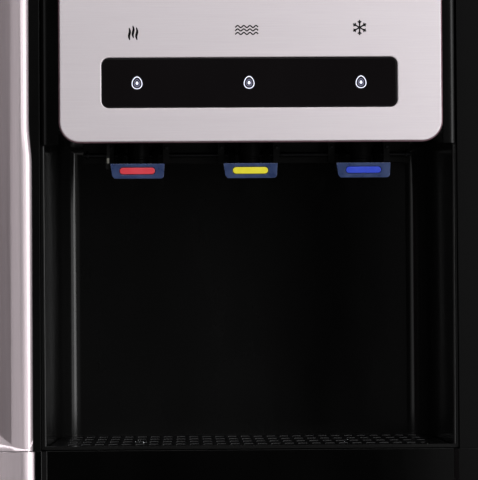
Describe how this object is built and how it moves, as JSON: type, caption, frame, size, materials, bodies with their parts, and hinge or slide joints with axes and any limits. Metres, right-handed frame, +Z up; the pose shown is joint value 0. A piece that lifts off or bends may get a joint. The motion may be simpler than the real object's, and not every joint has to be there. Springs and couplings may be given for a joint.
{
  "type": "bottom load water cooler",
  "caption": "Tall free-standing water cooler with an open tap bay, brushed steel control fascia, lift-out drip tray and a hinged door over the bottle space.",
  "frame": {"origin": "on the floor, at the middle of the footprint", "axes": "+Z up, -Y out of the front with the door and taps, +X to the right as seen from the front"},
  "size_m": [0.33, 0.37, 1.06],
  "materials": {
    "brushed_steel": "vertical brush, satin",
    "fascia_steel": "horizontal brush, satin",
    "side_paint": "textured satin black",
    "gloss_black": "piano black gloss",
    "satin_black": "fine texture",
    "window": "gloss, smoked",
    "lever_navy": "translucent navy",
    "marker_red": "satin",
    "marker_yellow": "satin",
    "marker_blue": "satin",
    "lamp": "frosted",
    "galvanised": "galvanised",
    "liner_grey": "moulded",
    "white_plastic": "moulded",
    "foam": "foamed",
    "tank_steel": "drawn",
    "enamel": "gloss enamel",
    "silicone": "translucent silicone",
    "rubber": "matt",
    "board": "solder mask",
    "steel": "bright zinc"
  },
  "bodies": {
    "cabinet": {"foot_front_left": "rubber", "foot_rear_left": "rubber", "foot_front_right": "rubber", "foot_rear_right": "rubber", "base_pan": "side_paint", "left_side_panel": "side_paint", "right_side_panel": "side_paint", "rear_panel": "galvanised", "compartment_back": "liner_grey", "bottle_shelf": "liner_grey", "mid_deck": "galvanised", "tank_shelf": "galvanised", "top_cover": "satin_black", "right_pillar": "gloss_black", "left_pillar": "gloss_black", "left_trim": "brushed_steel", "head_shell": "gloss_black", "control_fascia": "fascia_steel", "indicator_hot": "lamp", "indicator_room": "lamp", "indicator_cold": "lamp", "indicator_window": "window", "control_board": "board", "bay_liner": "gloss_black", "faucet_hot": "satin_black", "faucet_room": "satin_black", "faucet_cold": "satin_black", "lever_rail": "satin_black", "lever_rod": "steel", "hot_tank": "tank_steel", "cold_tank": "tank_steel", "cold_tank_foam": "foam", "compressor": "enamel", "condenser": "enamel", "pump": "white_plastic", "probe": "white_plastic", "suction_hose": "silicone", "delivery_hose": "silicone", "tube_hot": "silicone", "tube_room": "silicone", "tube_cold": "silicone", "power_inlet": "enamel", "hinge_bottom": "steel", "hinge_pin_top": "steel", "door_catch": "white_plastic"},
    "door": {"door_panel": "gloss_black", "door_liner": "liner_grey", "door_trim": "brushed_steel"},
    "hot_lever": {"lever_hot": "lever_navy", "marker_hot": "marker_red"},
    "room_lever": {"lever_room": "lever_navy", "marker_room": "marker_yellow"},
    "cold_lever": {"lever_cold": "lever_navy", "marker_cold": "marker_blue"},
    "child_lock": {"hot_lock": "satin_black"},
    "tray": {"drip_tray": "satin_black"},
    "grille": {"drip_grille": "satin_black"},
    "heater_switch": {"switch_hot": "marker_red"},
    "chiller_switch": {"switch_cold": "enamel"},
    "drain_plug": {"drain_cap": "white_plastic"}
  },
  "joints": [
    {"name": "door_hinge", "type": "hinge", "parent": "cabinet", "child": "door", "pos_m": [0.156, -0.174, 0.375], "axis": [0, 0, 1], "range_deg": [0, 110]},
    {"name": "hot_lever_pivot", "type": "hinge", "parent": "cabinet", "child": "hot_lever", "pos_m": [-0.069, -0.136, 0.873], "axis": [1, 0, 0], "range_deg": [0, 9], "stiffness_Nm_per_rad": 0.2, "springref_deg": -8.59},
    {"name": "room_lever_pivot", "type": "hinge", "parent": "cabinet", "child": "room_lever", "pos_m": [0.001, -0.136, 0.873], "axis": [1, 0, 0], "range_deg": [0, 9], "stiffness_Nm_per_rad": 0.2, "springref_deg": -8.59},
    {"name": "cold_lever_pivot", "type": "hinge", "parent": "cabinet", "child": "cold_lever", "pos_m": [0.071, -0.136, 0.873], "axis": [1, 0, 0], "range_deg": [0, 9], "stiffness_Nm_per_rad": 0.2, "springref_deg": -8.59},
    {"name": "child_lock_slide", "type": "slide", "parent": "cabinet", "child": "child_lock", "axis": [0, 1, 0], "range_m": [0, 0.004], "stiffness_N_per_m": 80, "springref_m": -0.003},
    {"name": "tray_lift", "type": "slide", "parent": "cabinet", "child": "tray", "axis": [0, 0, 1], "range_m": [0, 0.11]},
    {"name": "grille_lift", "type": "slide", "parent": "tray", "child": "grille", "axis": [0, 0, 1], "range_m": [0, 0.04]},
    {"name": "heater_switch_rocker", "type": "hinge", "parent": "cabinet", "child": "heater_switch", "pos_m": [-0.118, 0.151, 0.998], "axis": [1, 0, 0], "range_deg": [-16, 0]},
    {"name": "chiller_switch_rocker", "type": "hinge", "parent": "cabinet", "child": "chiller_switch", "pos_m": [-0.078, 0.151, 0.998], "axis": [1, 0, 0], "range_deg": [-16, 0]},
    {"name": "drain_plug_pull", "type": "slide", "parent": "cabinet", "child": "drain_plug", "axis": [0, 1, 0], "range_m": [0, 0.03]}
  ]
}
